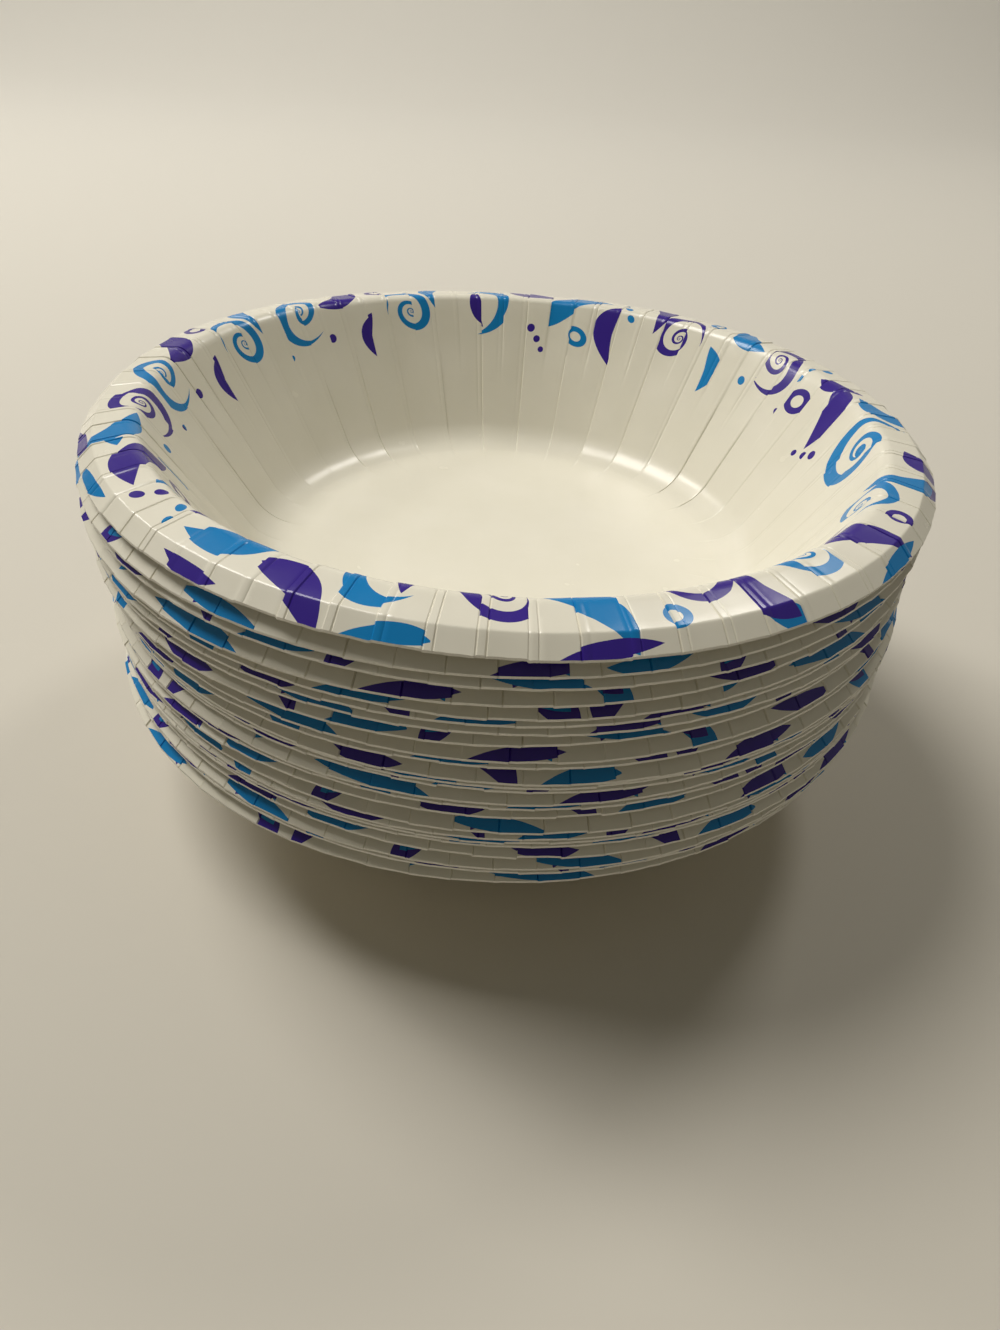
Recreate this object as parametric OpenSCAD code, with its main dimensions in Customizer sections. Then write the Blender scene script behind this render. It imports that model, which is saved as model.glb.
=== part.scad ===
// A stack of round pressed paper bowls, nested one in the next with their mouths up.
// Each bowl is one sheet of coated board pressed to shape: a flat floor, a sloping wall,
// a narrow land around the mouth and a skirt turned down at its outer edge. Creases run
// out along the radii, where the flat sheet had to gather as it was pressed.

/* [Bowl] */
// Diameter over the lower edge of the skirt
rim_d = 172; // [150:1:200]
// Height of one bowl, from the underside of its floor to the crest of its rim
bowl_h = 35; // [28:0.5:42]
// Thickness of the pressed board
board_t = 0.35; // [0.25:0.01:0.6]
// Rise of the wall from the horizontal, in degrees
wall_angle = 59; // [50:1:66]
// Radius of the bend from the floor into the wall, on the upper side
floor_bend_r = 11; // [6:0.5:14]

/* [Rim] */
// Radius of the bend over the crest of the rim, on the upper side
crest_r = 3; // [2:0.25:4.5]
// Width of the land, from the crest out to the crease of the skirt
land_w = 6; // [4:0.25:9]
// Fall of the land towards its outer edge, in degrees
land_angle = 8; // [2:1:15]
// Width of the skirt, measured flat along the radius
skirt_w = 2.9; // [2:0.1:4]
// Slope of the skirt below the horizontal, in degrees
skirt_angle = 42; // [30:1:55]
// Radius of the crease between the land and the skirt, on the upper side
crease_r = 0.9; // [0.6:0.1:2]

/* [Creases] */
// Number of creases around the rim; every second one runs on down to the wall's foot
crease_count = 72; // [36:2:96]
// Width of one crease at the rim edge
crease_w = 0.7; // [0.4:0.1:1.2]
// Depth of a crease below the upper side
crease_depth = 0.12; // [0.05:0.01:0.2]
// Length of wall that a short crease covers below the crest, as a fall in height
short_crease_fall = 18; // [10:1:22]

/* [Stack] */
// Number of bowls in the stack
bowl_count = 24; // [4:1:30]
// Clearance between the walls of two bowls where they lean on each other
seat_gap = 0.06; // [0.04:0.01:0.15]
// Height that the loosest bowl stands above its closest nesting
loose_max = 2.7; // [0.5:0.1:4]
// Share of a bowl's play that goes into tipping it, and the rest into sliding it aside
tip_share = 0.08; // [0:0.01:0.15]
// Turn from one bowl to the next, in degrees
turn_step = 137; // [0:1:180]
// How far the sideways slides swing off the X axis, in degrees
slide_swing = 20; // [0:1:45]
// Direction that the bowls tip towards, off the X axis to the back, in degrees
tip_back = 8; // [0:1:30]

/* [Hidden] */

rim_r = rim_d / 2;
skirt_bend_r = rim_r - skirt_w;      // where the land's slope meets the skirt's
crest_ring_r = skirt_bend_r - land_w;

// How loosely each bowl sits in the one beneath it, from the bottom of the stack to the top:
// 0 is nested as closely as the board allows and 1 stands loose_max higher
looseness = [0.8, 0, 0.75, 0.65, 0, 0, 0.3, 0.9, 0.6, 0.1, 0.65, 0.05,
             0, 0.9, 0.2, 1, 0.55, 0.35, 0.2, 0.75, 0.9, 0.5, 0.9];
nest_rise = (board_t + seat_gap) / cos(wall_angle);
swing_step = 97;                     // degrees from one bowl's swing to the next
slide_forward = 2;                   // degrees that all slides are turned to the front

bend_steps = 4;
crest_steps = 4;
crease_steps = 2;
past_edge = 1;                       // how far a cut runs on past the surface it opens through
board_colour = "#EDE9DC";

$fn = 96;

// A direction in the section plane, and the normal on its upper side
function along(a) = [cos(a), sin(a)];
function above(a) = [-sin(a), cos(a)];

// Points of a bend in the upper side, each with the slope there: [point, slope].
// A hollow bend turns about a centre above the sheet, and a crest about one below it
function hollow_bend(centre, r, from, to, steps) =
    [for (i = [0:steps]) let (a = from + (to - from) * i / steps) [centre - r * above(a), a]];
function crest_bend(centre, r, from, to, steps) =
    [for (i = [0:steps]) let (a = from + (to - from) * i / steps) [centre + r * above(a), a]];

crest_centre = [crest_ring_r, bowl_h - crest_r];
wall_top = crest_centre + crest_r * above(wall_angle);
wall_foot_z = board_t + floor_bend_r * (1 - cos(wall_angle));
wall_foot = [wall_top[0] - (wall_top[1] - wall_foot_z) / tan(wall_angle), wall_foot_z];
bend_centre = wall_foot + floor_bend_r * above(wall_angle);

land_top = crest_centre + crest_r * above(-land_angle);
skirt_corner = [skirt_bend_r, land_top[1] - (skirt_bend_r - land_top[0]) * tan(land_angle)];
crease_back = crease_r * tan((skirt_angle - land_angle) / 2);
crease_centre = skirt_corner - crease_back * along(-land_angle) - crease_r * above(-land_angle);
skirt_edge = skirt_corner + skirt_w / cos(skirt_angle) * along(-skirt_angle);

floor_part = [[[0, board_t], 0]];
bend_part = hollow_bend(bend_centre, floor_bend_r, 0, wall_angle, bend_steps);
crest_part = crest_bend(crest_centre, crest_r, wall_angle, -land_angle, crest_steps);
crease_part = crest_bend(crease_centre, crease_r, -land_angle, -skirt_angle, crease_steps);
edge_part = [[skirt_edge, -skirt_angle]];

// The bands that the creases run along: all run out past the skirt's edge, and they start just
// over the wall's foot, part of the way down the wall, or where the skirt begins
past_skirt = [[skirt_edge + past_edge * along(-skirt_angle), -skirt_angle]];
long_start = wall_foot + crease_w * along(wall_angle);
short_start = wall_top - short_crease_fall / sin(wall_angle) * along(wall_angle);
long_band = concat([[long_start, wall_angle]], crest_part, crease_part, past_skirt);
short_band = concat([[short_start, wall_angle]], crest_part, crease_part, past_skirt);
skirt_band = concat([crease_part[crease_steps]], past_skirt);

// The strip of the section that lies between two heights over the upper side
function strip(path, low, high) = concat(
    [for (p = path) p[0] + high * above(p[1])],
    [for (i = [len(path) - 1:-1:0]) path[i][0] + low * above(path[i][1])]);

// Every step-th crease from the first, pressed into the upper side along a band of the section
module crease_cuts(band, first, step) {
    arc = crease_w / rim_r * 180 / PI;
    for (i = [first:step:crease_count - 1])
        rotate([0, 0, i * 360 / crease_count - arc / 2])
            rotate_extrude(angle = arc)
                polygon(strip(band, -crease_depth, past_edge));
}

module plain_bowl() {
    sheet = concat(floor_part, bend_part, crest_part, crease_part, edge_part);
    rotate_extrude()
        polygon(strip(sheet, -board_t, 0));
}

// Only the top bowl shows its inside, so the creases of the others are cut in the skirt alone
module bowl(shows_inside) {
    color(board_colour)
        difference() {
            plain_bowl();
            if (shows_inside) {
                crease_cuts(long_band, 0, 2);
                crease_cuts(short_band, 1, 2);
            } else
                crease_cuts(skirt_band, 0, 1);
        }
}

function bowl_name(k) = str(k < 10 ? "bowl_0" : "bowl_", k);
function loose(k) = loose_max * looseness[(k - 2) % len(looseness)];

// The play between two walls that stand loose(k) above their closest nesting is used up by
// sliding the bowl aside, and by tipping it about the point on its axis midway between where
// the normals of the wall's foot and of its top cross that axis
foot_cross_z = wall_foot[1] + wall_foot[0] / tan(wall_angle);
top_cross_z = wall_top[1] + wall_top[0] / tan(wall_angle);
tip_z = (foot_cross_z + top_cross_z) / 2;
tip_lever = (top_cross_z - foot_cross_z) / 2 * sin(wall_angle);
// Slides and tips go to the right and to the left in turn, so that the stack stays upright
function to_side(k, off) = k % 2 == 0 ? off : 180 - off;
function slide_way(k) = to_side(k, slide_swing * sin(swing_step * k) - slide_forward);
function tip_way(k) = to_side(k, tip_back);
function slide(k) = (1 - tip_share) * loose(k) / tan(wall_angle);
function tip(k) = tip_share * loose(k) * cos(wall_angle) / tip_lever * 180 / PI;

// Sets a bowl in the stack, each one on the bowl beneath it
module stacked(k) {
    if (k <= 1)
        children();
    else {
        aside = slide(k) * along(slide_way(k));
        tip_axis = above(tip_way(k));
        stacked(k - 1)
            translate([aside[0], aside[1], nest_rise + loose(k) + tip_z])
                rotate(a = tip(k), v = [tip_axis[0], tip_axis[1], 0])
                    translate([0, 0, -tip_z])
                        children();
    }
}

for (k = [1:bowl_count])
    stacked(k) rotate([0, 0, k * turn_step]) bowl(k == bowl_count);
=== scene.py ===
"""Stack of nested paper bowls: each bowl is one sheet of coated board, pressed to shape and printed."""

import math

import bpy
import numpy as np
from bpy.props import FloatProperty, FloatVectorProperty, IntProperty, PointerProperty
from mathutils import Matrix, Vector


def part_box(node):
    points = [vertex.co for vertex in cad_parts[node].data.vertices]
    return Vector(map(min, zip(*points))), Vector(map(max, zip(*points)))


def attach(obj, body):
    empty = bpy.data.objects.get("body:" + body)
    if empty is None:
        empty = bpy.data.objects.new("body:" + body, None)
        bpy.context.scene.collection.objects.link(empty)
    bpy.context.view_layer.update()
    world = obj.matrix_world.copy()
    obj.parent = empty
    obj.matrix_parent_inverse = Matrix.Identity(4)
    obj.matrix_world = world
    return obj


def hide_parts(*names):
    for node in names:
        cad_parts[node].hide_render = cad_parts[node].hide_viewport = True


bl_info = {
    "name": "Paper Bowl Stack",
    "version": (1, 0, 0),
    "blender": (4, 5, 0),
    "location": "View3D > Sidebar > Paper Bowls",
    "description": "Models a stack of nested paper bowls with creased rims and a printed border",
    "category": "Add Mesh",
}

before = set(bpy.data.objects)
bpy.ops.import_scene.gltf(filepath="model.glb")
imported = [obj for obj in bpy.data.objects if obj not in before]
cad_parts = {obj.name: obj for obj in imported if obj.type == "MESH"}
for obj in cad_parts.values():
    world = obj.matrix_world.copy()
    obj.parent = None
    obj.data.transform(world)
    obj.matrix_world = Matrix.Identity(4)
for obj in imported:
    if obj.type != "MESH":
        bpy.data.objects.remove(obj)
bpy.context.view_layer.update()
BOWL_NODES = sorted(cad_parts)
LOWEST, TOP = BOWL_NODES[0], BOWL_NODES[-1]
LOWEST_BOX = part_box(LOWEST)

MM = 0.001
BLANK_MAP = "blank"            # the UV map: where each point lay on the flat sheet, in metres
TURN_STEP = math.radians(137)  # turn from one bowl to the next, as in the stack's own rule


def linear(hex_colour):
    """An sRGB hex colour as linear red, green, blue and alpha."""
    channels = [int(hex_colour[i : i + 2], 16) / 255 for i in (1, 3, 5)]
    return [c / 12.92 if c <= 0.04045 else ((c + 0.055) / 1.055) ** 2.4 for c in channels] + [1.0]


def length(name, description, default_mm):
    """A property in metres, written here in millimetres."""
    return FloatProperty(name=name, description=description, default=default_mm * MM, unit="LENGTH")


def angle(name, description, default_degrees):
    """A property that is an angle, written here in degrees."""
    return FloatProperty(name=name, description=description, default=math.radians(default_degrees),
                         subtype="ANGLE")


def colour(name, description, hex_colour):
    """A colour property, written here as sRGB hex."""
    return FloatVectorProperty(name=name, description=description, default=linear(hex_colour),
                               subtype="COLOR", size=4, min=0, max=1)


class BowlSizes(bpy.types.PropertyGroup):
    """The section of one bowl, from the floor out to the cut edge of its skirt"""

    rim: length("Rim", "Diameter over the lower edge of the skirt",
                (LOWEST_BOX[1].x - LOWEST_BOX[0].x) / MM)
    height: length("Height", "From the underside of the floor to the crest of the rim",
                   (LOWEST_BOX[1].z - LOWEST_BOX[0].z) / MM)
    board: length("Board", "Thickness of the pressed board", 0.35)
    wall_angle: angle("Wall angle", "Rise of the wall from the horizontal", 59)
    floor_bend: length("Floor bend", "Radius of the bend from the floor into the wall", 11)
    crest: length("Crest", "Radius of the bend over the crest of the rim", 3)
    land: length("Land", "Width of the land, from the crest out to the fold of the skirt", 6)
    land_fall: angle("Land fall", "Fall of the land towards its outer edge", 8)
    skirt: length("Skirt", "Width of the skirt, measured flat along the radius", 2.9)
    skirt_fall: angle("Skirt fall", "Slope of the skirt below the horizontal", 42)
    fold: length("Fold", "Radius of the fold between the land and the skirt", 0.9)


class CreaseLook(bpy.types.PropertyGroup):
    """How the sheet gathered as it was pressed"""

    count: IntProperty(name="Creases", description="Creases around the rim; every second one is long",
                       default=72, min=36, max=96)
    groove: length("Groove", "Depth of a crease's groove at the rim", 0.2)
    pleat: length("Pleat", "Height of the gathered strip between a crease's two grooves", 0.12)
    short_fall: length("Short creases", "Length of wall that a short crease runs down", 17)
    crook: angle("Crook", "How far a crease wanders off its radius", 0.3)
    panel_tilt: angle("Panel tilt", "How far the flat panels between creases tilt at random", 1.1)
    edge_step: length("Edge step", "How far the cut edge steps from panel to panel", 0.06)
    slant: length("Slant", "How far the underside reaches past the upper side at the cut edge", 0.31)
    wave: length("Wave", "Rise and fall of the rims that the whole stack shares", 0.35)


class BoardColours(bpy.types.PropertyGroup):
    """Colours of the board and its print"""

    coated: colour("Coated side", "Clay-coated upper side", "#F0ECDE")
    bare: colour("Bare side", "Uncoated underside", "#E8E2D2")
    cut: colour("Cut edge", "Fresh fibres of the cut edge", "#F6F2E8")
    violet: colour("Violet ink", "Darker ink of the border", "#38228E")
    blue: colour("Blue ink", "Lighter ink of the border", "#0A82C6")


class StageLook(bpy.types.PropertyGroup):
    """Floor, lamps and camera"""

    # The floor colour is painted shade in front of the stack, and the paler backdrop colour is painted light
    # behind it
    floor: colour("Floor", "Plain pale floor", "#D0CBBF")
    backdrop: colour("Backdrop", "Where the floor sweeps up behind", "#E2DFD7")
    room: FloatProperty(name="Room light", description="Strength of the light from all round",
                        default=0.26, min=0)
    lamp: FloatProperty(name="Lamp", description="Power of the soft lamp overhead, in watts",
                        default=22.5, min=0)
    lens: FloatProperty(name="Lens", description="Focal length of the camera in millimetres",
                        default=24.9, min=1)


# Directions in the section of a bowl, and the normal on the sheet's upper side
def along(slope):
    return np.array((math.cos(slope), math.sin(slope)))


def above(slope):
    return np.array((-math.sin(slope), math.cos(slope)))


def hollow_bend(centre, radius, first, last, steps):
    """Rows of a bend that turns about a centre above the sheet, with the slope at each."""
    slopes = [first + (last - first) * i / steps for i in range(1, steps + 1)]
    return [(centre - radius * above(a), a) for a in slopes]


def crest_bend(centre, radius, first, last, steps):
    """Rows of a bend that turns about a centre below the sheet, with the slope at each."""
    slopes = [first + (last - first) * i / steps for i in range(1, steps + 1)]
    return [(centre + radius * above(a), a) for a in slopes]


def straight(start, end, slope, steps):
    """Rows of a straight stretch, from after its start up to its end."""
    return [(start + (end - start) * i / steps, slope) for i in range(1, steps + 1)]


class Section:
    """The upper side of a bowl from its axis out: each row's radius, height, slope and way along."""

    def __init__(self, sizes, floor_rings, bend, wall, crest, land, fold, skirt):
        rise, fall, drop = sizes.wall_angle, -sizes.land_fall, -sizes.skirt_fall
        rim_r = sizes.rim / 2
        corner_r = rim_r - sizes.skirt
        crest_centre = np.array((corner_r - sizes.land, sizes.height - sizes.crest))
        wall_top = crest_centre + sizes.crest * above(rise)
        foot_z = sizes.board + sizes.floor_bend * (1 - math.cos(rise))
        wall_foot = np.array((wall_top[0] - (wall_top[1] - foot_z) / math.tan(rise), foot_z))
        bend_centre = wall_foot + sizes.floor_bend * above(rise)
        land_top = crest_centre + sizes.crest * above(fall)
        corner = np.array((corner_r, land_top[1] + (corner_r - land_top[0]) * math.tan(fall)))
        back = sizes.fold * math.tan((fall - drop) / 2)
        fold_centre = corner - back * along(fall) - sizes.fold * above(fall)
        land_end = fold_centre + sizes.fold * above(fall)
        fold_end = fold_centre + sizes.fold * above(drop)
        cut_edge = corner + sizes.skirt / math.cos(drop) * along(drop)

        rows = [(np.array((bend_centre[0] * share, sizes.board)), 0.0) for share in floor_rings]
        rows += hollow_bend(bend_centre, sizes.floor_bend, 0, rise, bend)
        rows += straight(wall_foot, wall_top, rise, wall)
        rows += crest_bend(crest_centre, sizes.crest, rise, fall, crest)
        rows += straight(land_top, land_end, fall, land)
        rows += crest_bend(fold_centre, sizes.fold, fall, drop, fold)
        rows += straight(fold_end, cut_edge, drop, skirt)
        self.points = np.array([point for point, _ in rows])
        self.slope = np.array([slope for _, slope in rows])
        steps = np.linalg.norm(np.diff(self.points, axis=0), axis=1)
        self.way = np.concatenate(([0.0], np.cumsum(steps)))
        ends = np.cumsum([len(floor_rings), bend, wall, crest, land, fold, skirt]) - 1
        self.floor_end, _, self.top, self.crest_end, _, self.fold_end, self.edge = self.way[ends]


def ramp(x, low, high):
    """0 below low, 1 above high and a smooth rise between."""
    t = np.clip((x - low) / (high - low), 0, 1)
    return t * t * (3 - 2 * t)


def deselect():
    if bpy.context.mode != "OBJECT":
        bpy.ops.object.mode_set(mode="OBJECT")
    bpy.ops.object.select_all(action="DESELECT")


def spun_sheet(name, section, columns):
    """The sheet's upper side: its section drawn by extruding one point, then spun about the axis."""
    deselect()
    bpy.ops.mesh.primitive_plane_add(size=MM)
    sheet = bpy.context.object
    sheet.name = name
    bpy.ops.object.mode_set(mode="EDIT")
    bpy.ops.mesh.merge(type="CENTER")
    bpy.ops.transform.translate(value=(section.points[0][0], 0, section.points[0][1]))
    for step in np.diff(section.points, axis=0):
        bpy.ops.mesh.extrude_region_move(TRANSFORM_OT_translate={"value": (step[0], 0, step[1])})
    bpy.ops.mesh.select_all(action="SELECT")
    bpy.ops.mesh.spin(steps=columns, angle=math.tau, center=(0, 0, 0), axis=(0, 0, 1))
    bpy.ops.mesh.select_all(action="SELECT")
    bpy.ops.mesh.remove_doubles(threshold=0.001 * MM)
    bpy.ops.mesh.normals_make_consistent(inside=False)
    bpy.ops.object.mode_set(mode="OBJECT")
    if sheet.data.polygons[0].normal.z < 0:
        bpy.ops.object.mode_set(mode="EDIT")
        bpy.ops.mesh.flip_normals()
        bpy.ops.object.mode_set(mode="OBJECT")
    return sheet


class Grid:
    """The row and the column of each vertex of a spun sheet, and where each column goes in a panel."""

    def __init__(self, mesh, section, shares, panels):
        self.section, self.shares, self.panels = section, np.array(shares), panels
        co = np.empty(len(mesh.vertices) * 3)
        mesh.vertices.foreach_get("co", co)
        co = co.reshape(-1, 3)
        radius = np.hypot(co[:, 0], co[:, 1])
        places = section.points
        self.row = np.argmin(np.hypot(radius[:, None] - places[:, 0], co[:, 2:] - places[:, 1]), axis=1)
        self.columns = len(shares) * panels
        turn = np.arctan2(co[:, 1], co[:, 0]) % math.tau
        self.column = np.round(turn / math.tau * self.columns).astype(int) % self.columns
        self.share = self.shares[self.column % len(shares)]
        self.panel = self.column // len(shares)
        self.theta = (self.panel + self.share) * math.tau / panels


WALL_SHARE = 0.28                         # how deep the creases are on the wall, as a share of the rim's
LONG_START = (-1 * MM, 3 * MM)            # where the long creases start, past the edge of the floor
SHORT_START = (-4 * MM, 4 * MM)           # how much the start of the short creases differs
LONG_FADE, SHORT_FADE = 20 * MM, 9 * MM   # the way over which they grow to their full depth
LEFT_ONLY, RIGHT_ONLY = 0.4, 0.15         # shares of the creases with one full groove; the rest have two


def crease_lift(grid, creases, looks, rng, life):
    """How far the creases raise the upper side at each vertex: grooves sink and gathered strips rise.
    life is 1 where the rim has room to be uneven and less where its neighbours are close."""
    section, count = grid.section, grid.panels
    way = section.way[grid.row]
    is_long = np.arange(count) % 2 == 0

    # Long creases start at the bend over the floor, and the short ones halfway up the wall
    start_long = section.floor_end + rng.uniform(*LONG_START, count)
    start_short = section.top - looks.short_fall + rng.uniform(*SHORT_START, count)
    start = np.where(is_long, start_long, start_short)[grid.panel]
    strength = ramp(way, start, start + np.where(is_long, LONG_FADE, SHORT_FADE)[grid.panel])
    strength *= WALL_SHARE + (1 - WALL_SHARE) * ramp(way, section.top, section.crest_end)

    # Some creases have one groove, some two with the board gathered between them
    kinds = rng.random(count)
    left = looks.groove * np.where(kinds < 1 - RIGHT_ONLY, rng.uniform(0.6, 1.15, count), 0.2)
    right = looks.groove * np.where(kinds > LEFT_ONLY, rng.uniform(0.4, 1.0, count), 0.05)
    pleat = life * looks.pleat * rng.uniform(0.1, 1.3, count)
    lip = life * looks.groove * rng.uniform(-0.1, 0.35, count)
    lift = np.zeros(len(way))
    for place, heights in creases:
        lift += np.where(np.isclose(grid.share, place), heights(left, right, pleat, lip)[grid.panel], 0)
    return lift * strength


WIDE_TILT = 2.6        # the wide panels' tilt on the wall, as a multiple of the narrow ones'
BELLY = 0.05 * MM      # how far a narrow panel's middle stands proud or sinks, at random
SINK = 0.09 * MM       # the same for a wide panel, halfway up the wall
# The whole sheet's own unevenness: how many times it rises around the bowl, and how far
UNEVEN = ((3, 0.06 * MM), (7, 0.04 * MM), (11, 0.03 * MM))
UNEVEN_TWIST = 90      # radians that it can turn for each metre of way


def panel_shape(grid, looks, rng):
    """How far each vertex is drawn in as the panels between creases flatten, and raised as they tilt."""
    section, count = grid.section, grid.panels
    way, radius = section.way[grid.row], section.points[grid.row, 0]
    # Under the short creases the panels are twice as wide as on the rim
    narrow = ramp(way, section.top - looks.short_fall - 4 * MM, section.top - looks.short_fall / 2)
    in_narrow, in_wide = grid.share, (grid.share + grid.panel % 2) / 2
    flat_narrow = 4 * in_narrow * (1 - in_narrow) * (1 - math.cos(math.pi / count))
    flat_wide = 4 * in_wide * (1 - in_wide) * (1 - math.cos(math.tau / count))
    evenness = rng.uniform(0.75, 1.15, count)[grid.panel // 2]
    inward = radius * (narrow * flat_narrow + (1 - narrow) * flat_wide) * evenness

    width = radius * math.tau / count
    tilt = looks.panel_tilt * rng.normal(0, 1, count)
    belly = BELLY * rng.normal(0, 1, count)
    sink = SINK * rng.normal(0, 1, count)
    up_wall = np.clip((way - section.floor_end) / (section.top - section.floor_end), 0, 1)
    lean = narrow * tilt[grid.panel] * (in_narrow - 0.5) * width
    lean += (1 - narrow) * WIDE_TILT * tilt[grid.panel // 2] * (in_wide - 0.5) * width
    lean += narrow * belly[grid.panel] * 4 * in_narrow * (1 - in_narrow)
    lean += sink[grid.panel // 2] * np.sin(math.pi * up_wall) * in_wide * (1 - in_wide) * 4
    for lobes, reach in UNEVEN:
        phase = rng.uniform(0, math.tau, 2)
        twist = UNEVEN_TWIST * way * math.sin(phase[1])
        lean += reach * np.sin(lobes * grid.theta + phase[0] + twist)
    return inward, lean


WALL_CLEAR = 0.2 * MM  # how far in an uneven wall is set, so that it stays clear of the bowl beneath
HIDDEN_FLATS = 0.1     # how flat the panels are on a wall that doesn't show, as a share of a rim's
SHAPE_START = 6 * MM   # the way past the floor over which the sheet turns from round to panelled
EDGE_NICK = 0.02 * MM  # how ragged the cut edge is within one panel


def pressed(grid, creases, looks, seed, life, shows_inside, wave):
    """Where each vertex of the upper side lies once the sheet is pressed, before and after its creases
    are pressed in. Only the rim of a bowl that doesn't show its inside is uneven."""
    section, rng = grid.section, np.random.default_rng(seed)
    way, slope = section.way[grid.row], section.slope[grid.row]
    creased = crease_lift(grid, creases, looks, rng, life)
    inward, lean = panel_shape(grid, looks, rng)
    near_rim = ramp(way, section.top, section.crest_end)
    shaped = ramp(way, section.floor_end, section.floor_end + SHAPE_START)
    if shows_inside:
        lean = life * shaped * lean + WALL_CLEAR * shaped * (1 - near_rim)
        inward *= shaped
    else:
        lean *= life * near_rim
        inward *= shaped * (HIDDEN_FLATS + (1 - HIDDEN_FLATS) * near_rim)

    # Creases wander off their radius, and the cut edge steps from panel to panel
    crook = looks.crook * rng.normal(0, 1, grid.panels)
    wander = (1 - grid.share) * crook[grid.panel] + grid.share * crook[(grid.panel + 1) % grid.panels]
    theta = grid.theta + wander * shaped * (section.edge - way) / section.edge
    step = looks.edge_step * rng.normal(0, 1, grid.panels)[grid.panel]
    step += EDGE_NICK * rng.normal(0, 1, grid.columns)[grid.column]
    past = ramp(way, section.fold_end, section.edge) * step
    placed = []
    for lift in (lean, lean + creased):
        radius = section.points[grid.row, 0] - inward - np.sin(slope) * lift + np.cos(slope) * past
        height = section.points[grid.row, 1] + np.cos(slope) * lift + np.sin(slope) * past
        height += wave(theta) * near_rim
        placed.append(np.stack([radius * np.cos(theta), radius * np.sin(theta), height], axis=1))
    return placed


def map_blank(mesh, grid, turn):
    """The UV map of the flat sheet. In each panel the print runs on, and at a crease it jumps, because
    the board that the crease gathers in carries some of the print out of sight."""
    loops = len(mesh.loops)
    vertex = np.empty(loops, int)
    mesh.loops.foreach_get("vertex_index", vertex)
    totals = np.empty(len(mesh.polygons), int)
    mesh.polygons.foreach_get("loop_total", totals)
    polygon = np.repeat(np.arange(len(mesh.polygons)), totals)
    row, theta = grid.row[vertex], grid.theta[vertex]
    off_axis = (row > 0).astype(float)
    east = np.bincount(polygon, np.cos(theta) * off_axis)
    north = np.bincount(polygon, np.sin(theta) * off_axis)
    middle = (np.arctan2(north, east) % math.tau)[polygon]
    theta = np.where(theta - middle > math.pi, theta - math.tau, theta)
    theta = np.where(middle - theta > math.pi, theta + math.tau, theta)
    panel = math.tau / grid.panels
    panel_middle = (np.floor(middle / panel) + 0.5) * panel
    way, radius = grid.section.way[row], grid.section.points[row, 0]
    gathered = np.where(way > 0, radius / np.maximum(way, MM), 1)
    blank = panel_middle + (theta - panel_middle) * gathered + turn
    uv = np.stack([way * np.cos(blank), way * np.sin(blank)], axis=1)
    layer = mesh.uv_layers.get(BLANK_MAP) or mesh.uv_layers[0]
    layer.name = BLANK_MAP
    layer.data.foreach_set("uv", uv.astype(np.float32).ravel())


def lie_of(node):
    """The middle of a node's surface and the axis that it turns about, from its triangles."""
    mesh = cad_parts[node].data
    co = np.empty(len(mesh.vertices) * 3)
    mesh.vertices.foreach_get("co", co)
    mesh.calc_loop_triangles()
    corners = np.empty(len(mesh.loop_triangles) * 3, int)
    mesh.loop_triangles.foreach_get("vertices", corners)
    a, b, c = co.reshape(-1, 3)[corners.reshape(-1, 3)].transpose(1, 0, 2)
    area = np.linalg.norm(np.cross(b - a, c - a), axis=1)
    middle = (a + b + c) / 3
    centre = area @ middle / area.sum()
    spread = (middle - centre).T @ ((middle - centre) * area[:, None])
    axis = np.linalg.eigh(spread)[1][:, 0]
    return centre, axis * np.sign(axis[2])


def place_of(node, centre_height):
    """The matrix that sets a bowl where its node lies: its origin is under the middle of its surface."""
    centre, axis = lie_of(node)
    turn = Vector((0, 0, 1)).rotation_difference(Vector(axis)).to_matrix().to_4x4()
    return Matrix.Translation(Vector(centre - axis * centre_height)) @ turn


COATED, PRINTED, BARE, CUT = range(4)  # a bowl's material slots
PRINT_WIDTH = 30 * MM                  # how far the border reaches in from the cut edge


def share_out(mesh, grid, faces):
    """Gives each face its finish. The upper side's faces come first, then as many of the underside, in
    the same order, and then the cut edge's."""
    starts = np.empty(len(mesh.polygons), int)
    mesh.polygons.foreach_get("loop_start", starts)
    vertex = np.empty(len(mesh.loops), int)
    mesh.loops.foreach_get("vertex_index", vertex)
    way = grid.section.way[grid.row[vertex[starts[:faces]]]]
    finish = np.full(len(mesh.polygons), CUT)
    finish[:faces] = np.where(way < grid.section.edge - PRINT_WIDTH, COATED, PRINTED)
    finish[faces:2 * faces] = BARE
    mesh.polygons.foreach_set("material_index", finish)


def press_creases(mesh, grid, moves, through, slant):
    """Presses the creases into the upper side, and as far as through says into the underside too, and
    slants the cut edge, so that it shows from above. The underside's vertices follow the upper side's,
    in the same order."""
    upper = len(grid.row)
    co = np.empty(len(mesh.vertices) * 3)
    mesh.vertices.foreach_get("co", co)
    co = co.reshape(-1, 3)
    co[:upper] += moves
    co[upper:] += through * moves
    last = len(grid.section.way) - 1
    ring, inner = (np.flatnonzero(grid.row == row) for row in (last, last - 1))
    ring, inner = (found[np.argsort(grid.column[found])] for found in (ring, inner))
    way = co[ring] - co[inner]
    way /= np.linalg.norm(way, axis=1)[:, None]
    co[upper + ring] += slant * way
    mesh.vertices.foreach_set("co", co.astype(np.float32).ravel())
    mesh.update()


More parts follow.
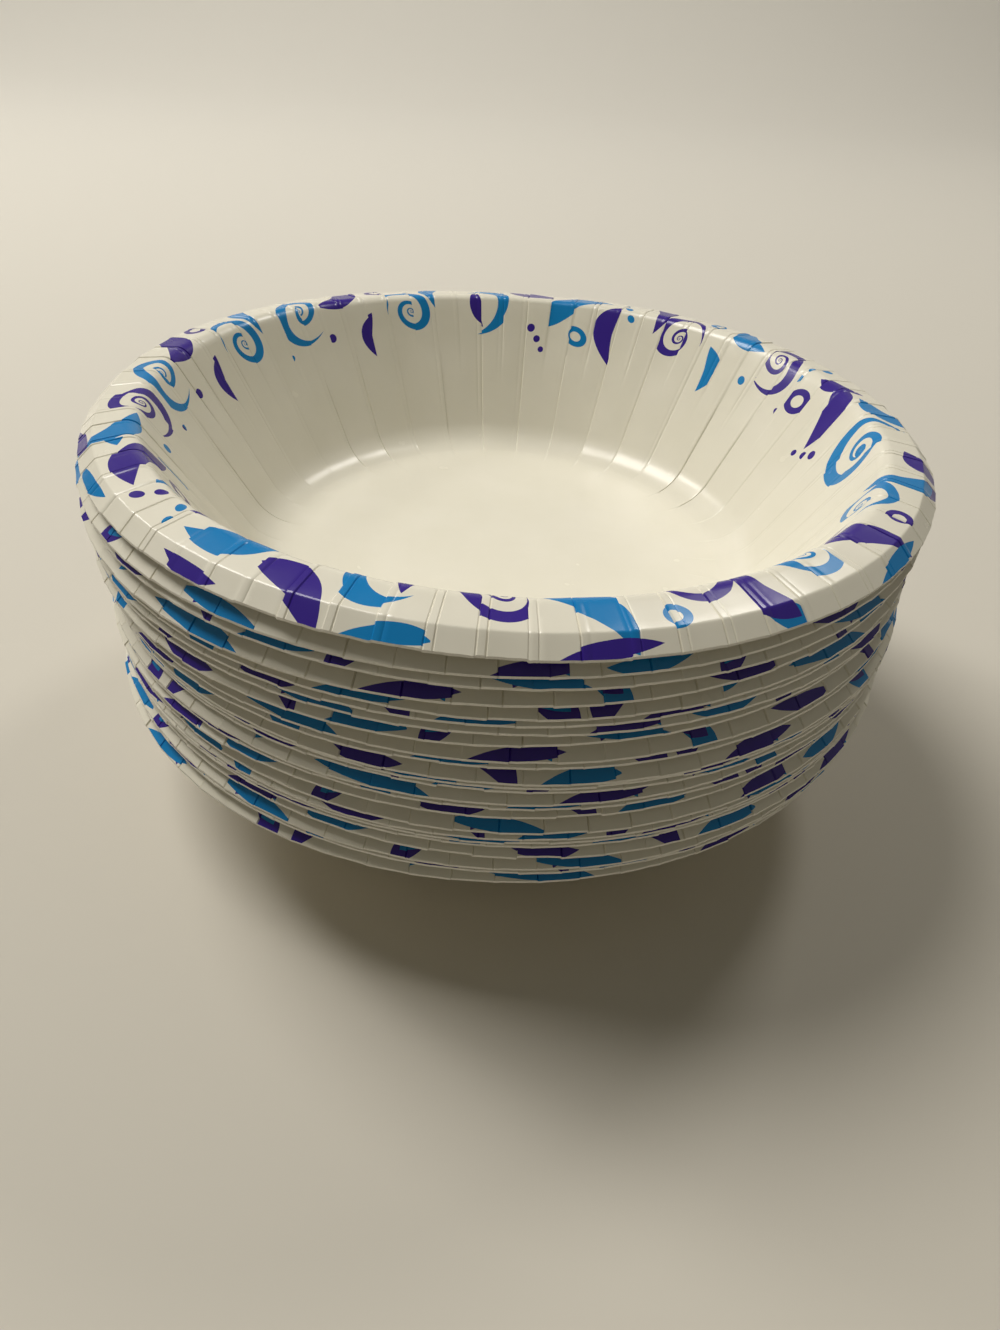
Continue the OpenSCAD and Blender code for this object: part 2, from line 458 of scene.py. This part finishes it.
CENTRE_HEIGHT = lie_of(LOWEST)[0][2]
PLACES = [place_of(node, CENTRE_HEIGHT) for node in BOWL_NODES]
RISES = [(upper.translation - lower.translation).length for lower, upper in zip(PLACES, PLACES[1:])]
LIVELY_ROOM = 0.9 * MM  # a rim with this much air to its neighbours is as uneven as it likes
WAVE_ROOM = 0.22        # the share of that air that a rim's own rise and fall takes up
WAVE_MOST = 0.4 * MM
PRESS_SEED, WAVE_SEED = 1000, 77


def room_of(order, sizes):
    """The air between a bowl's skirt and the nearer of its neighbours', across the skirt."""
    near = [RISES[i] for i in (order - 1, order) if 0 <= i < len(RISES)]
    return min(near) * math.cos(sizes.skirt_fall) - sizes.board


def wave_of(index, room, looks):
    """How a rim rises and falls: slowly with the whole stack, and by itself as far as it has room."""
    own = np.random.default_rng(WAVE_SEED + index).uniform(0, math.tau, 2)
    alone = min(WAVE_ROOM * room, WAVE_MOST)

    def wave(theta):
        together = looks.wave * (0.6 * np.cos(2 * theta + 0.6) + 0.4 * np.cos(3 * theta - 1.1))
        return together + alone * (0.6 * np.cos(2 * theta + own[0]) + 0.4 * np.cos(4 * theta + own[1]))
    return wave


PRINT_TURN = math.radians(211)  # how far the print turns on from one bowl to the next
THROUGH = 0.6                    # how much of a crease shows on the outside of the lowest bowl
SMOOTH_BELOW = math.radians(28)  # faces that meet at less than this are shaded as one surface


def finish_bowl(bowl, node, looks, grid, creases, sizes, materials):
    """Presses one copy of the sheet, sets it in the stack and gives it its thickness and materials."""
    index = BOWL_NODES.index(node) + 1
    turn = index * TURN_STEP
    room = room_of(index - 1, sizes)
    life = min(1, room / LIVELY_ROOM)
    wave = wave_of(index, room, looks)
    mesh = bowl.data
    smooth, creased = pressed(grid, creases, looks, PRESS_SEED + index, life, node == TOP,
                              lambda theta: wave(theta + turn))
    map_blank(mesh, grid, index * PRINT_TURN)
    matrix = np.array(PLACES[index - 1] @ Matrix.Rotation(turn, 4, "Z"))
    smooth = smooth @ matrix[:3, :3].T + matrix[:3, 3]
    creased = creased @ matrix[:3, :3].T + matrix[:3, 3]
    mesh.vertices.foreach_set("co", smooth.astype(np.float32).ravel())
    mesh.update()
    for material in materials:
        mesh.materials.append(material)
    deselect()
    bpy.context.view_layer.objects.active = bowl
    bowl.select_set(True)
    shell = bowl.modifiers.new("board", "SOLIDIFY")
    shell.thickness = sizes.board
    shell.offset = -1
    shell.use_even_offset = True
    faces = len(mesh.polygons)
    bpy.ops.object.modifier_apply(modifier=shell.name)
    share_out(mesh, grid, faces)
    press_creases(mesh, grid, creased - smooth, THROUGH if node == LOWEST else 0, looks.slant)
    bpy.ops.object.shade_smooth_by_angle(angle=SMOOTH_BELOW)
    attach(bowl, "root")
    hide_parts(node)


# Columns of one panel, as shares of its width from its crease to the next, with the heights that the
# crease gives them. The top bowl's creases have two grooves with a gathered strip between
FINE_CREASE = [
    (0.0, lambda left, right, pleat, lip: -left),
    (0.03, lambda left, right, pleat, lip: 0.7 * pleat),
    (0.1, lambda left, right, pleat, lip: pleat),
    (0.17, lambda left, right, pleat, lip: 0.7 * pleat),
    (0.2, lambda left, right, pleat, lip: -right),
    (0.23, lambda left, right, pleat, lip: lip),
    (0.33, lambda left, right, pleat, lip: 0.3 * lip),
]
FINE_SHARES = [0.0, 0.03, 0.1, 0.17, 0.2, 0.23, 0.33, 0.45, 0.6, 0.75, 0.88, 0.97]
PLAIN_CREASE = [
    (0.0, lambda left, right, pleat, lip: -1.2 * left),
    (0.025, lambda left, right, pleat, lip: pleat),
    (0.15, lambda left, right, pleat, lip: 0.6 * pleat),
]
PLAIN_SHARES = [0.0, 0.025, 0.15, 0.4, 0.7, 0.975]


def add_node(tree, kind, settings=None):
    """Adds a node and sets it up. Each setting is an input, by name or number, or else a property, and
    an input is given a value or another node's output."""
    node = tree.nodes.new(kind)
    for key, value in (settings or {}).items():
        if isinstance(value, bpy.types.NodeSocket):
            tree.links.new(value, node.inputs[key])
        elif isinstance(key, int) or key in node.inputs:
            node.inputs[key].default_value = value
        else:
            setattr(node, key, value)
    return node


def calc(tree, operation, *values, **settings):
    """The output of a maths node, from numbers or other nodes' outputs."""
    settings = {"operation": operation, **settings, **dict(enumerate(values))}
    return add_node(tree, "ShaderNodeMath", settings).outputs[0]


def size_of(tree, vector):
    """The length of a vector."""
    return add_node(tree, "ShaderNodeVectorMath", {"operation": "LENGTH", 0: vector}).outputs["Value"]


def parts_of(tree, vector):
    """The X, Y and Z of a vector, or the channels of a colour."""
    return add_node(tree, "ShaderNodeSeparateXYZ", {0: vector}).outputs


def mixed(tree, share, first, second):
    """A colour between two others."""
    return add_node(tree, "ShaderNodeMix",
                    {"data_type": "RGBA", 0: share, 6: first, 7: second}).outputs[2]


def noise_of(tree, grain, detail):
    """Noise over the object's own coordinates, with its grain in metres."""
    place = add_node(tree, "ShaderNodeTexCoord").outputs["Object"]
    return add_node(tree, "ShaderNodeTexNoise",
                    {"Vector": place, "Scale": 1 / grain, "Detail": detail}).outputs["Fac"]


def unit(tree, cell, at, turn, half):
    """The cell's coordinates moved to a motif's own, where its half sizes are 1."""
    return add_node(tree, "ShaderNodeMapping", {
        "vector_type": "TEXTURE", "Vector": cell, "Location": (*at, 0),
        "Rotation": (0, 0, math.radians(turn)), "Scale": (*half, 1)}).outputs[0]


def dot(tree, cell, at, size):
    """A round dot."""
    return calc(tree, "LESS_THAN", size_of(tree, unit(tree, cell, at, 0, (size, size))), 1.0)


def ring(tree, cell, at, size, line):
    """A slightly oval ring, with its line as a share of its radius."""
    local = unit(tree, cell, at, 20, (size, 0.8 * size))
    return calc(tree, "COMPARE", size_of(tree, local), 1.0, line)


def leaf(tree, cell, at, turn, half, bend, head):
    """A pointed leaf on a bent midline, fuller towards its head."""
    x, y, _ = parts_of(tree, unit(tree, cell, at, turn, half))
    square = calc(tree, "MULTIPLY", x, x)
    off = calc(tree, "ABSOLUTE", calc(tree, "MULTIPLY_ADD", square, -bend, y))
    slim = calc(tree, "MULTIPLY_ADD", x, -head, 1.0, use_clamp=True)
    return calc(tree, "LESS_THAN", calc(tree, "MULTIPLY_ADD", off, slim, square), 1.0)


def crescent(tree, cell, at, turn, size, offset, hollow):
    """A disc with a second disc taken out of one side."""
    local = unit(tree, cell, at, turn, (size, size))
    inside = calc(tree, "LESS_THAN", size_of(tree, local), 1.0)
    aside = add_node(tree, "ShaderNodeVectorMath",
                     {"operation": "DISTANCE", 0: local, 1: (offset, 0, 0)}).outputs["Value"]
    return calc(tree, "MULTIPLY", inside, calc(tree, "GREATER_THAN", aside, hollow))


def scroll(tree, cell, at, turn, size, growth, line):
    """A spiral whose line widens as it runs out, growth times as far from the middle at each turn."""
    local = unit(tree, cell, at, turn, (size, size))
    x, y, _ = parts_of(tree, local)
    far = size_of(tree, local)
    turns = calc(tree, "LOGARITHM", far, growth)
    wound = calc(tree, "MULTIPLY_ADD", calc(tree, "ARCTAN2", y, x), -1 / math.tau, turns)
    band = calc(tree, "COMPARE", calc(tree, "FRACT", wound), 0.5, line)
    return calc(tree, "MULTIPLY", band, calc(tree, "LESS_THAN", far, 1.0))


def joined(tree, masks):
    """One mask that is on where any of several is."""
    whole = masks[0]
    for mask in masks[1:]:
        whole = calc(tree, "MAXIMUM", whole, mask)
    return whole


CELLS = 9              # repeats of the border around the sheet
SWAPPED = 0.35         # the share of them that have their inks swapped
THIRDS = (0.67, 0.33)  # chance below the first picks the second layout, and below both the third


def border_cell(tree, edge_way):
    """Coordinates in one repeat of the border, in millimetres: x along the rim and y out to the cut edge.
    Every second repeat or so is mirrored, by chance. Also gives switches that chance sets for each
    repeat: one for swapping its inks, and two that pick its layout."""
    flat = add_node(tree, "ShaderNodeUVMap", {"uv_map": BLANK_MAP}).outputs[0]
    east, north, _ = parts_of(tree, flat)
    way = size_of(tree, flat)
    around = calc(tree, "MULTIPLY_ADD", calc(tree, "ARCTAN2", north, east), CELLS / math.tau, CELLS)
    chance = add_node(tree, "ShaderNodeTexWhiteNoise",
                      {"noise_dimensions": "1D", "W": calc(tree, "FLOOR", around)}).outputs["Color"]
    mirror, swap, pick = parts_of(tree, chance)
    across = calc(tree, "SUBTRACT", calc(tree, "FRACT", around), 0.5)
    flip = calc(tree, "MULTIPLY_ADD", calc(tree, "LESS_THAN", mirror, 0.5), -2.0, 1.0)
    across = calc(tree, "MULTIPLY", across, flip)
    x = calc(tree, "MULTIPLY", calc(tree, "MULTIPLY", across, way), math.tau / CELLS / MM)
    y = calc(tree, "MULTIPLY_ADD", way, 1 / MM, -edge_way / MM)
    cell = add_node(tree, "ShaderNodeCombineXYZ", {0: x, 1: y}).outputs[0]
    picks = [calc(tree, "LESS_THAN", pick, share) for share in THIRDS]
    return cell, calc(tree, "LESS_THAN", swap, SWAPPED), picks


def chosen(tree, masks, picks):
    """The mask of the layout that a repeat's switches pick: the first with both off, the last with both
    on."""
    mask = masks[0]
    for later, pick in zip(masks[1:], picks):
        mask = add_node(tree, "ShaderNodeMix", {"data_type": "FLOAT", 0: pick, 2: mask, 3: later}).outputs[0]
    return mask


# Three layouts of one repeat, and chance picks one for each. Each lists the motifs in its first and
# its second ink, with each motif's place in millimetres and its own numbers
SCROLLS = {
    "first": [
        (scroll, (-14, -15.5), 200, 11, 3.6, 0.17),
        (dot, (-14.3, -15.3), 1.5),
        (leaf, (0, -7.5), -22, (10, 2.5), 1.2, -0.5),
        (leaf, (20, -1.6), 4, (13, 1.6), 0.5, 0.3),
        (dot, (31, -6.5), 1.2),
        (dot, (32, -10), 1.1),
        (dot, (32, -13.5), 1.0),
    ],
    "second": [
        (leaf, (10, -15), 57, (9.5, 3.4), -1.1, 0.4),
        (leaf, (18.5, -10.5), -20, (7, 2), 1.0, 0.2),
        (leaf, (-31, -4), -40, (7.5, 2.6), 0.9, 0.3),
        (ring, (25, -18), 2.9, 0.34),
        (dot, (3, -24.5), 1.1),
        (dot, (6.4, -26), 0.95),
        (dot, (9.8, -27), 0.8),
    ],
}
LEAVES = {
    "first": [
        (leaf, (-10, -9.5), -28, (12.5, 3.4), -1.2, 0.5),
        (crescent, (21, -13.5), 335, 8.5, 0.4, 0.86),
        (ring, (-11, -20.5), 2.4, 0.36),
        (leaf, (28, -1.4), -5, (8.5, 1.7), 0.6, 0.2),
        (dot, (-28, -6.5), 1.2),
        (dot, (-29, -10), 1.1),
        (dot, (-29.5, -13.5), 1.0),
    ],
    "second": [
        (leaf, (8, -6), 30, (10.5, 3.1), 1.2, -0.4),
        (leaf, (-20, -18), 102, (8.5, 2.7), 1.4, 0.3),
        (leaf, (-15, -0.9), 4, (8, 1.4), -0.5, 0.2),
        (leaf, (24, -15), 60, (6.5, 1.5), 0.8, 0.3),
        (dot, (4, -19.5), 1.1),
        (dot, (2, -22.3), 0.95),
        (dot, (0.5, -25), 0.8),
    ],
}
CURLS = {
    "first": [
        (scroll, (-22, -12), 70, 8.5, 3.2, 0.19),
        (scroll, (16, -15.5), 300, 8, 3.2, 0.18),
        (leaf, (26, -7), 62, (8.5, 2.6), -1.3, 0.4),
        (leaf, (-6, -1.2), -6, (10, 1.4), 0.5, 0.3),
        (dot, (-33, -16), 1.2),
        (dot, (-31.5, -19.5), 1.0),
        (dot, (-29, -22.5), 0.8),
    ],
    "second": [
        (leaf, (-5, -9), 38, (9.5, 3.3), 1.2, 0.4),
        (leaf, (0, -20.5), 80, (6, 2.1), -1.2, 0.3),
        (leaf, (31, -1.6), 30, (5.5, 2), 0.5, 0.2),
        (ring, (8, -6), 2.3, 0.34),
        (dot, (-12, -20), 1.1),
    ],
}


def printed_border(tree, board, colours, edge_way):
    """The board's colour with its border of scrolls, leaves, crescents, rings and dots in two inks."""
    cell, swap, picks = border_cell(tree, edge_way)
    masks = {}
    for ink in ("first", "second"):
        layouts = [joined(tree, [motif(tree, cell, *numbers) for motif, *numbers in layout[ink]])
                   for layout in (SCROLLS, LEAVES, CURLS)]
        masks[ink] = chosen(tree, layouts, picks)
    first = mixed(tree, swap, colours.violet, colours.blue)
    second = mixed(tree, swap, colours.blue, colours.violet)
    inked = mixed(tree, masks["second"], board, second)
    return mixed(tree, masks["first"], inked, first)


def new_material(name):
    """A new material, with its node tree and its shader."""
    material = bpy.data.materials.new(name)
    material.use_nodes = True
    tree = material.node_tree
    return material, tree, tree.nodes["Principled BSDF"]


def tinted(tone, red, green, blue):
    """A linear colour with each channel brought down to a share of itself."""
    return [tone[0] * red, tone[1] * green, tone[2] * blue, 1.0]


def relief(tree, shader, layers):
    """Bump of the board's surface from layers of noise, each with its grain and height in millimetres."""
    bump = {"Strength": 1.0}
    for grain, height in layers:
        bump["Height"] = noise_of(tree, grain * MM, 2.0)
        bump["Distance"] = height * MM
        bump["Normal"] = add_node(tree, "ShaderNodeBump", bump).outputs["Normal"]
    tree.links.new(bump["Normal"], shader.inputs["Normal"])


# Grain of the board's finishes: clouds in its tone, patches in its sheen, tufts of felt and cut fibres.
# Real fibres are finer, and these are as coarse as they need to be to show
CLOUD, SHEEN_PATCH, FELT, FIBRE = 11.1 * MM, 6.25 * MM, 1.43 * MM, 0.4 * MM


def coated_board(name, colours, edge_way=None):
    """Clay-coated bleached paperboard, calendered: a satin sheen with a faint orange peel. With the way
    to the cut edge given, it has the printed border too."""
    material, tree, shader = new_material(name)
    warm = tinted(colours.coated, 0.93, 0.93, 0.9)
    board = mixed(tree, noise_of(tree, CLOUD, 3.0), colours.coated, warm)
    if edge_way:
        board = printed_border(tree, board, colours, edge_way)
    tree.links.new(board, shader.inputs["Base Color"])
    patches = noise_of(tree, SHEEN_PATCH, 2.0)
    gloss = add_node(tree, "ShaderNodeMapRange",
                     {"Value": patches, "To Min": 0.2, "To Max": 0.3}).outputs[0]
    tree.links.new(gloss, shader.inputs["Roughness"])
    shader.inputs["IOR"].default_value = 1.5
    relief(tree, shader, [(3.0, 0.008), (0.8, 0.0015)])
    return material


def bare_board(name, colours):
    """Uncoated side of the paperboard: matt, with the felt of its fibres."""
    material, tree, shader = new_material(name)
    darker = tinted(colours.bare, 0.9, 0.9, 0.9)
    tone = mixed(tree, noise_of(tree, FELT, 4.0), colours.bare, darker)
    tree.links.new(tone, shader.inputs["Base Color"])
    shader.inputs["Roughness"].default_value = 0.85
    relief(tree, shader, [(0.5, 0.02)])
    return material


def cut_board(name, colours):
    """Die-cut edge of the paperboard: bright torn fibres in thin layers."""
    material, tree, shader = new_material(name)
    darker = tinted(colours.cut, 0.82, 0.82, 0.82)
    tone = mixed(tree, noise_of(tree, FIBRE, 2.0), colours.cut, darker)
    tree.links.new(tone, shader.inputs["Base Color"])
    shader.inputs["Roughness"].default_value = 0.9
    relief(tree, shader, [(0.2, 0.03)])
    return material


FINISHES = ("clay_coated_paperboard", "printed_coated_paperboard", "uncoated_paperboard",
            "die_cut_paperboard_edge")


def board_materials(colours, edge_way):
    """The finishes of one sheet, made once: plain and printed upper side, underside and cut edge."""
    made = [bpy.data.materials.get(name) for name in FINISHES]
    if not all(made):
        made = [coated_board(FINISHES[COATED], colours), coated_board(FINISHES[PRINTED], colours, edge_way),
                bare_board(FINISHES[BARE], colours), cut_board(FINISHES[CUT], colours)]
    return made


class BOWLS_OT_lower(bpy.types.Operator):
    """Model the bowls under the top one, of which the skirts show"""

    bl_idname = "paper_bowls.lower"
    bl_label = "Lower Bowls"

    def execute(self, context):
        scene = context.scene
        sizes, looks = scene.bowl_sizes, scene.crease_look
        section = Section(sizes, (0, 0.96), bend=3, wall=3, crest=3, land=1, fold=3, skirt=3)
        panels = looks.count
        pattern = spun_sheet("bowl_pattern", section, len(PLAIN_SHARES) * panels)
        grid = Grid(pattern.data, section, PLAIN_SHARES, panels)
        materials = board_materials(scene.board_colours, section.edge)
        for node in BOWL_NODES[:-1]:
            deselect()
            pattern.select_set(True)
            context.view_layer.objects.active = pattern
            bpy.ops.object.duplicate()
            bowl = context.object
            bowl.name = "paper_" + node
            finish_bowl(bowl, node, looks, grid, PLAIN_CREASE, sizes, materials)
        bpy.data.objects.remove(pattern)
        return {"FINISHED"}


class BOWLS_OT_top(bpy.types.Operator):
    """Model the top bowl, of which the whole inside shows"""

    bl_idname = "paper_bowls.top"
    bl_label = "Top Bowl"

    def execute(self, context):
        scene = context.scene
        sizes, looks = scene.bowl_sizes, scene.crease_look
        section = Section(sizes, (0, 0.5, 0.82, 0.96), bend=10, wall=10, crest=6, land=3, fold=4, skirt=4)
        panels = looks.count
        bowl = spun_sheet("paper_" + TOP, section, len(FINE_SHARES) * panels)
        grid = Grid(bowl.data, section, FINE_SHARES, panels)
        materials = board_materials(scene.board_colours, section.edge)
        finish_bowl(bowl, TOP, looks, grid, FINE_CREASE, sizes, materials)
        return {"FINISHED"}


FLOOR_SIZE = 8.0
SWEEP_START, SWEEP_R, SWEEP_STEPS = 1.0, 0.8, 12  # where the floor sweeps up behind, and how round
BACKDROP_RISE = 3.0
PAINTED_SHADE_END = -0.15  # in front of this the floor has its own colour, darker as painted shade, and behind it turns paler as painted light


def add_floor(look):
    """A floor that sweeps up into a backdrop behind the stack, with painted light in its colour: darker in
    front as painted shade, and a little paler behind as painted light.
    """
    bpy.ops.mesh.primitive_plane_add(size=FLOOR_SIZE, location=(0, SWEEP_START - FLOOR_SIZE / 2, 0))
    floor = bpy.context.object
    floor.name = "floor"
    bpy.ops.object.transform_apply(location=True)
    for vertex in floor.data.vertices:
        vertex.select = vertex.co.y > 0
    for edge in floor.data.edges:
        edge.select = all(floor.data.vertices[i].select for i in edge.vertices)
    floor.data.polygons[0].select = False
    bpy.ops.object.mode_set(mode="EDIT")
    bends = [math.pi / 2 * i / SWEEP_STEPS for i in range(SWEEP_STEPS + 1)]
    for low, high in zip(bends, bends[1:]):
        step = (0, SWEEP_R * (math.sin(high) - math.sin(low)), SWEEP_R * (math.cos(low) - math.cos(high)))
        bpy.ops.mesh.extrude_region_move(TRANSFORM_OT_translate={"value": step})
    bpy.ops.mesh.extrude_region_move(TRANSFORM_OT_translate={"value": (0, 0, BACKDROP_RISE)})
    bpy.ops.object.mode_set(mode="OBJECT")
    bpy.ops.object.shade_smooth()

    material, tree, shader = new_material("pale_floor_painted_light")
    # Painted light: the colour runs from the floor's darker painted shade in front to the paler backdrop
    # colour behind
    place = add_node(tree, "ShaderNodeTexCoord").outputs["Object"]
    far = add_node(tree, "ShaderNodeMapRange", {
        "Value": parts_of(tree, place)["Y"], "From Min": PAINTED_SHADE_END, "From Max": SWEEP_START}).outputs[0]
    tree.links.new(mixed(tree, far, look.floor, look.backdrop), shader.inputs["Base Color"])
    shader.inputs["Roughness"].default_value = 0.7
    floor.data.materials.append(material)


def add_room_light(look):
    """Dim light from all round, brighter from behind the stack than from the camera's side."""
    world = bpy.data.worlds.new("room")
    bpy.context.scene.world = world
    world.use_nodes = True
    tree = world.node_tree
    background = tree.nodes["Background"]
    way = add_node(tree, "ShaderNodeTexCoord").outputs["Generated"]
    back = add_node(tree, "ShaderNodeMapRange", {
        "Value": parts_of(tree, way)["Y"], "From Min": -1.0, "From Max": 1.0}).outputs[0]
    light = mixed(tree, back, linear("#8C846A"), linear("#FFFDF6"))
    tree.links.new(light, background.inputs["Color"])
    background.inputs["Strength"].default_value = look.room


# Each lamp's place and diameter in metres, and its power as a share of the look's. Two of them are
# smaller and lower, and only add the glints on the bend over the floor
LAMPS = {
    "soft_lamp": ((-0.8, 0.42, 1.6), 0.9, 1.0),
    "left_glint_lamp": ((-1.2, 0.66, 1.05), 0.28, 0.16),
    "right_glint_lamp": ((0.61, 0.88, 1.36), 0.36, 0.2),
}


def add_lamps(look):
    """Round soft lamps that face the stack."""
    aim = Vector((0, 0, 0.05))
    for name, (place, size, share) in LAMPS.items():
        bpy.ops.object.light_add(type="AREA", location=place)
        lamp = bpy.context.object
        lamp.name = name
        lamp.data.shape = "DISK"
        lamp.data.size = size
        lamp.data.energy = look.lamp * share
        lamp.data.color = linear("#FFFBF4")[:3]
        lamp.rotation_euler = (aim - lamp.location).to_track_quat("-Z", "Y").to_euler()


CAMERA_PLACE = (0.001, -0.1877, 0.1585)
CAMERA_TURN = (51.92, -2.94, 2.01)  # degrees up from straight down, rolled, and turned to the left


def add_camera(look):
    """The photo's view: from the front and above, close to the stack."""
    bpy.ops.object.camera_add(location=CAMERA_PLACE, rotation=[math.radians(a) for a in CAMERA_TURN])
    camera = bpy.context.object
    camera.name = "camera"
    camera.data.sensor_width = 36
    camera.data.lens = look.lens
    camera.data.clip_start = 0.01
    bpy.context.scene.camera = camera


class BOWLS_OT_stage(bpy.types.Operator):
    """Set up the floor, the lamps and the camera"""

    bl_idname = "paper_bowls.stage"
    bl_label = "Stage"

    def execute(self, context):
        look = context.scene.stage_look
        deselect()
        add_floor(look)
        add_room_light(look)
        add_lamps(look)
        add_camera(look)
        context.scene.view_settings.view_transform = "Standard"
        return {"FINISHED"}


class BOWLS_PT_panel(bpy.types.Panel):
    """Lists the steps that build the stack, with its sizes and colours"""

    bl_label = "Paper Bowls"
    bl_idname = "BOWLS_PT_panel"
    bl_space_type = "VIEW_3D"
    bl_region_type = "UI"
    bl_category = "Paper Bowls"

    def draw(self, context):
        for step in (BOWLS_OT_lower, BOWLS_OT_top, BOWLS_OT_stage):
            self.layout.operator(step.bl_idname)
        for group in GROUPS:
            box = self.layout.box()
            settings = getattr(context.scene, group)
            for name in settings.__annotations__:
                box.prop(settings, name)


GROUPS = {"bowl_sizes": BowlSizes, "crease_look": CreaseLook, "board_colours": BoardColours,
          "stage_look": StageLook}
CLASSES = [*GROUPS.values(), BOWLS_OT_lower, BOWLS_OT_top, BOWLS_OT_stage, BOWLS_PT_panel]


def register():
    for cls in CLASSES:
        bpy.utils.register_class(cls)
    for name, group in GROUPS.items():
        setattr(bpy.types.Scene, name, PointerProperty(type=group))


def unregister():
    for name in GROUPS:
        delattr(bpy.types.Scene, name)
    for cls in reversed(CLASSES):
        bpy.utils.unregister_class(cls)


def main():
    register()
    bpy.ops.paper_bowls.stage()
    bpy.ops.paper_bowls.lower()
    bpy.ops.paper_bowls.top()


if __name__ == "__main__":
    main()
